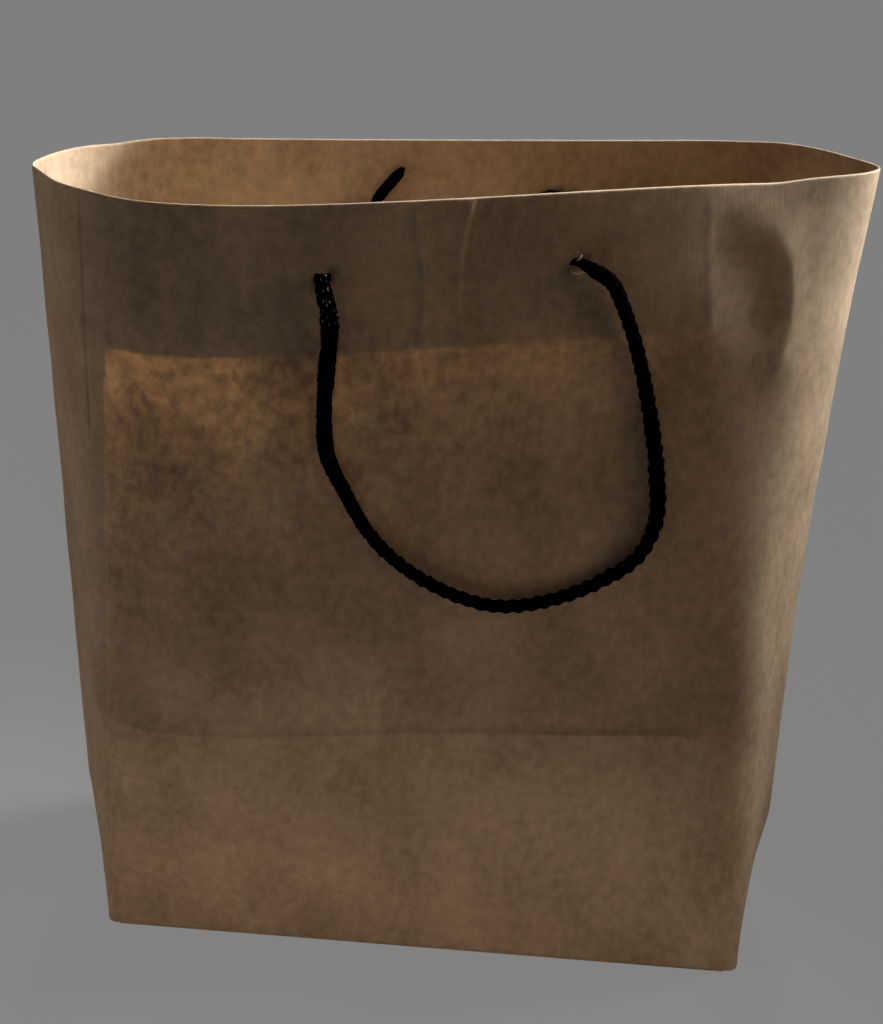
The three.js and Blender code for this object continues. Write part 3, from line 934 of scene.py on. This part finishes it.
# %% Fibre group, used by the paper and by its torn edges
# each pattern: waves per metre around and up, detail, roughness, and the range of values that is kept
STREAKS = ((1400, 110), 3, 0.6, 0.3, 0.7)
CLOUDS = ((260, 210), 5, 0.65, 0.34, 0.66)
BROAD_CLOUDS = ((34, 24), 3, 0.55, 0.36, 0.64)
SPECKS = ((900, 560), 1, 0.5, 0.77, 0.84)
STREAK_HEIGHT, CLOUD_HEIGHT = 0.6, 0.4  # shares of the paper's roughness to the touch


def fibre_group():
    group = bpy.data.node_groups.new("paper fibres", "ShaderNodeTree")
    for name, kind, way in (
        ("Sheet", "NodeSocketVector", "INPUT"), ("Cloud Amount", "NodeSocketFloat", "INPUT"),
        ("Streaks", "NodeSocketFloat", "OUTPUT"), ("Clouds", "NodeSocketFloat", "OUTPUT"),
        ("Specks", "NodeSocketFloat", "OUTPUT"), ("Height", "NodeSocketFloat", "OUTPUT"),
    ):
        group.interface.new_socket(name, in_out=way, socket_type=kind)
    inlet, outlet = group.nodes.new("NodeGroupInput"), group.nodes.new("NodeGroupOutput")
    place = inlet.outputs["Sheet"]
    streaks = pattern(group, place, *STREAKS)
    clouds = pattern(group, place, *CLOUDS)
    mixed = middle_of(group, clouds, pattern(group, place, *BROAD_CLOUDS))
    high_streaks = calculate(group, "MULTIPLY", streaks, STREAK_HEIGHT)
    high_clouds = calculate(group, "MULTIPLY", clouds, CLOUD_HEIGHT)
    for name, value in (
        ("Streaks", streaks),
        ("Clouds", calculate(group, "MULTIPLY", mixed, inlet.outputs["Cloud Amount"])),
        ("Specks", pattern(group, place, *SPECKS)),
        ("Height", calculate(group, "ADD", high_streaks, high_clouds)),
    ):
        group.links.new(value, outlet.inputs[name])
    return group


fibres = fibre_group()


def use_fibres(tree, place, cloud_amount):
    node = tree.nodes.new("ShaderNodeGroup")
    node.node_tree = fibres
    node.inputs["Cloud Amount"].default_value = cloud_amount
    tree.links.new(place, node.inputs["Sheet"])
    return node.outputs


print("fibre group outputs:", [s.name for s in fibres.interface.items_tree if s.in_out == "OUTPUT"])

# %% Kraft paper
KRAFT_LIGHT = (0.68, 0.525, 0.36)
KRAFT_DARK = (0.38, 0.27, 0.165)
KRAFT_SPECK = (0.26, 0.17, 0.10)
# pale of worn folds and of the painted highlight along the creases
KRAFT_WORN_HIGHLIT = (0.66, 0.52, 0.37)
STREAK_SHARE = 0.18  # how much of the streaks shows in the colour
GLOW_THIN = (1.0, 0.72, 0.40)  # light that comes through a thin place, a thick one and the overlap
GLOW_THICK = (0.30, 0.16, 0.065)
GLOW_GLUED = (0.20, 0.11, 0.05)
GLOW_SHARE = 0.212
GLOW_CLOUDS = ((260, 210), 4, 0.6, 0.38, 0.62)  # clouds in the thickness of the sheet
BROAD_GLOW = ((34, 24), 4, 0.6, 0.36, 0.64)


def kraft_paper():
    material, tree, surface = new_finish("kraft paper")
    place = map_place(tree, FLAT_MAP)
    fibre = use_fibres(tree, place, 1.0)
    clouded = mix_colour(tree, fibre["Clouds"], KRAFT_DARK, KRAFT_LIGHT)
    streaked = mix_colour(tree, fibre["Streaks"], clouded, KRAFT_LIGHT)
    fibrous = mix_colour(tree, STREAK_SHARE, clouded, streaked)
    specked = mix_colour(tree, fibre["Specks"], fibrous, KRAFT_SPECK)
    # painted highlight: the creases' pale lines stand in for light they catch; on folds and the rim the
    # paleness is wear
    worn_and_highlit_share = calculate(tree, "MULTIPLY", attribute(tree, "worn_and_highlit"), fibre["Streaks"])
    tree.links.new(mix_colour(tree, worn_and_highlit_share, specked, KRAFT_WORN_HIGHLIT), surface.inputs["Base Color"])
    surface.inputs["Roughness"].default_value = 0.75
    surface.inputs["Specular IOR Level"].default_value = 0.25
    add_bump(tree, surface, fibre["Height"], strength=0.25, distance=0.0002)
    clouds = middle_of(tree, pattern(tree, place, *GLOW_CLOUDS), pattern(tree, place, *BROAD_GLOW))
    through = mix_colour(tree, clouds, GLOW_THICK, GLOW_THIN)
    glow = tree.nodes.new("ShaderNodeBsdfTranslucent")
    tree.links.new(mix_colour(tree, attribute(tree, "glued"), through, GLOW_GLUED), glow.inputs["Color"])
    both = tree.nodes.new("ShaderNodeMixShader")
    both.inputs["Fac"].default_value = GLOW_SHARE
    tree.links.new(surface.outputs["BSDF"], both.inputs[1])
    tree.links.new(glow.outputs["BSDF"], both.inputs[2])
    tree.links.new(both.outputs["Shader"], tree.nodes["Material Output"].inputs["Surface"])
    return material


paper = kraft_paper()
bag.data.materials.append(paper)
base_flaps.data.materials.append(paper)
print("paper nodes:", len(paper.node_tree.nodes))

# %% Pale torn fibres, with painted highlight
# pale of torn fibres, made paler as a painted highlight
TORN_PALE_HIGHLIT = (0.86, 0.78, 0.66)
TORN_BROWN = (0.7, 0.56, 0.4)


def torn_fibres_highlit():
    material, tree, surface = new_finish("torn paper")
    fibre = use_fibres(tree, map_place(tree, FLAT_MAP), 0.6)
    tree.links.new(mix_colour(tree, fibre["Clouds"], TORN_PALE_HIGHLIT, TORN_BROWN), surface.inputs["Base Color"])
    surface.inputs["Roughness"].default_value = 0.85
    return material


for finish in (paper, torn_fibres_highlit()):
    torn_paper.data.materials.append(finish)
print("torn paper finishes:", [m.name for m in torn_paper.data.materials])

# %% [markdown]
# The cord is black and matt. Near the left hole, where it is pulled out, small glints are painted into its
# colour: the peaks of a noise turn the black base colour pale there, as painted highlights. Loose threads
# that catch the light could be modelled as hairs, but they are finer than the picture shows, so the glints
# are painted, kept to the first part of the handle's length.

# %% Black braided cord
CORD_BLACK = (0.0015, 0.0015, 0.0015)
PAINTED_GLINT_COLOUR = (0.85, 0.82, 0.78)
THREADS = (30, 480)  # waves of the noise once round the cord, and per metre along it
GLINT_LOW, GLINT_HIGH = 0.635, 0.68  # peaks of the noise that are painted pale as glints
GLINT_REACH = 0.023  # length at the left end where glints are painted pale, as highlights
GLINT_FADE = 0.004  # how far before and after that the glints fade


def black_cord():
    material, tree, surface = new_finish("black braided cord")
    place = map_place(tree)
    threads = grain(tree, place, THREADS, detail=2)
    glint = stretch_values(tree, threads, GLINT_LOW, GLINT_HIGH)
    parts = tree.nodes.new("ShaderNodeSeparateXYZ")
    tree.links.new(place, parts.inputs["Vector"])
    glint_reach_mask = stretch_values(tree, parts.outputs["Y"], GLINT_REACH + GLINT_FADE, GLINT_REACH - GLINT_FADE)
    # painted highlight: pale glints mixed into the cord's black colour near its left end
    loose = calculate(tree, "MULTIPLY", glint, glint_reach_mask)
    tree.links.new(mix_colour(tree, loose, CORD_BLACK, PAINTED_GLINT_COLOUR), surface.inputs["Base Color"])
    surface.inputs["Roughness"].default_value = 0.9
    surface.inputs["Specular IOR Level"].default_value = 0
    add_bump(tree, surface, threads, strength=0.6, distance=0.0003)
    return material


cord_finish = black_cord()
for piece in (front_handle, back_handle, *front_knots, *back_knots):
    piece.data.materials.append(cord_finish)
print("cord nodes:", len(cord_finish.node_tree.nodes))

# %% [markdown]
# ## Floor and light
# The bag stands on a plain pale floor in a room with windows behind it. One window is at the right, a
# little behind the bag, so that the right side and the inside of the left are bright and the front is in
# soft shade. One is straight behind and makes the single layer of paper glow. A skylight reaches into the
# left of the mouth. The walls of the room and the table throw warm light back on the shaded sides. One big
# lamp would be simpler, but the front is lit by little else than these, so each has a lamp of its own, most
# of them with a limited beam.

# %% Floor
FLOOR_SIZE = 6  # metres from the middle to an edge
FLOOR_GREY = (0.5, 0.5, 0.5, 1)
EVEN_GREY = (0.262, 0.262, 0.262, 1)
EVEN_SHARE = 0.8  # share of the floor's look that is even, and not lit by the lamps

floor_bm = bmesh.new()
bmesh.ops.create_grid(floor_bm, x_segments=1, y_segments=1, size=FLOOR_SIZE)
floor_mesh = bpy.data.meshes.new("floor")
floor_bm.to_mesh(floor_mesh)
floor_bm.free()
floor = bpy.data.objects.new("floor", floor_mesh)
scene.collection.objects.link(floor)


def pale_floor():
    material, tree, matt = new_finish("pale floor")
    matt.inputs["Base Color"].default_value = FLOOR_GREY
    matt.inputs["Roughness"].default_value = 0.9
    even = tree.nodes.new("ShaderNodeEmission")
    even.inputs["Color"].default_value = EVEN_GREY
    ray = tree.nodes.new("ShaderNodeLightPath").outputs
    seen = calculate(tree, "MAXIMUM", ray["Is Camera Ray"], ray["Is Glossy Ray"])
    seen = calculate(tree, "MAXIMUM", seen, ray["Is Transmission Ray"])
    both = tree.nodes.new("ShaderNodeMixShader")
    tree.links.new(calculate(tree, "MULTIPLY", seen, EVEN_SHARE), both.inputs["Fac"])
    tree.links.new(matt.outputs["BSDF"], both.inputs[1])
    tree.links.new(even.outputs["Emission"], both.inputs[2])
    tree.links.new(both.outputs["Shader"], tree.nodes["Material Output"].inputs["Surface"])
    return material


floor.data.materials.append(pale_floor())
print("floor:", 2 * FLOOR_SIZE, "m wide")

# %% Lamps
WHITE = (1, 1, 1)
WARM = (1, 0.81, 0.68)
AMBER = (1, 0.73, 0.52)
LAMPS = [  # name, place, the point it shines at, size, watts, colour, spread of its beam in degrees
    ("window", (0.58, 0.32, 0.60), (0.11, 0, 0.38), (0.3, 0.3), 1.5, WHITE, 40),
    ("skylight", (0.38, 0.12, 1.0), (-0.10, 0.02, 0.27), (0.2, 0.2), 0.1, WHITE, 18),
    ("back window", (0.0, 0.80, 0.90), (0.02, 0, 0.38), (0.4, 0.4), 0.42, WHITE, 26),
    ("room", (1.2, -0.40, 0.5), (0, -0.07, 0.22), (1.0, 1.0), 0.31, AMBER, 60),
    ("front wall", (0.02, -0.60, 0.35), (0.02, -0.07, 0.2), (0.1, 0.1), 0.0016, AMBER, 25),
    ("table", (-0.02, -0.165, 0.025), (-0.02, -0.05, 0.02), (0.36, 0.04), 0.032, WARM, 140),
    ("left wall", (-1.0, 0, 0.3), (-0.1, 0, 0.1), (0.6, 0.6), 1.4, WARM, 180),
]
SKY_COLOUR = (1, 0.98, 0.95, 1)
SKY_STRENGTH = 0.015


def soft_light(name, place, target, size, power, colour, spread):
    lamp = bpy.data.lights.new(name, "AREA")
    lamp.shape = "RECTANGLE"
    lamp.size, lamp.size_y = size
    lamp.energy = power
    lamp.color = colour
    lamp.spread = math.radians(spread)
    light = bpy.data.objects.new(name, lamp)
    light.location = place
    light.rotation_euler = (Vector(target) - Vector(place)).to_track_quat("-Z", "Y").to_euler()
    light.visible_camera = False
    scene.collection.objects.link(light)


for lamp_row in LAMPS:
    soft_light(*lamp_row)
world = bpy.data.worlds.new("room")
world.use_nodes = True
world.node_tree.nodes["Background"].inputs["Color"].default_value = SKY_COLOUR
world.node_tree.nodes["Background"].inputs["Strength"].default_value = SKY_STRENGTH
scene.world = world
print("lamps:", [row[0] for row in LAMPS])
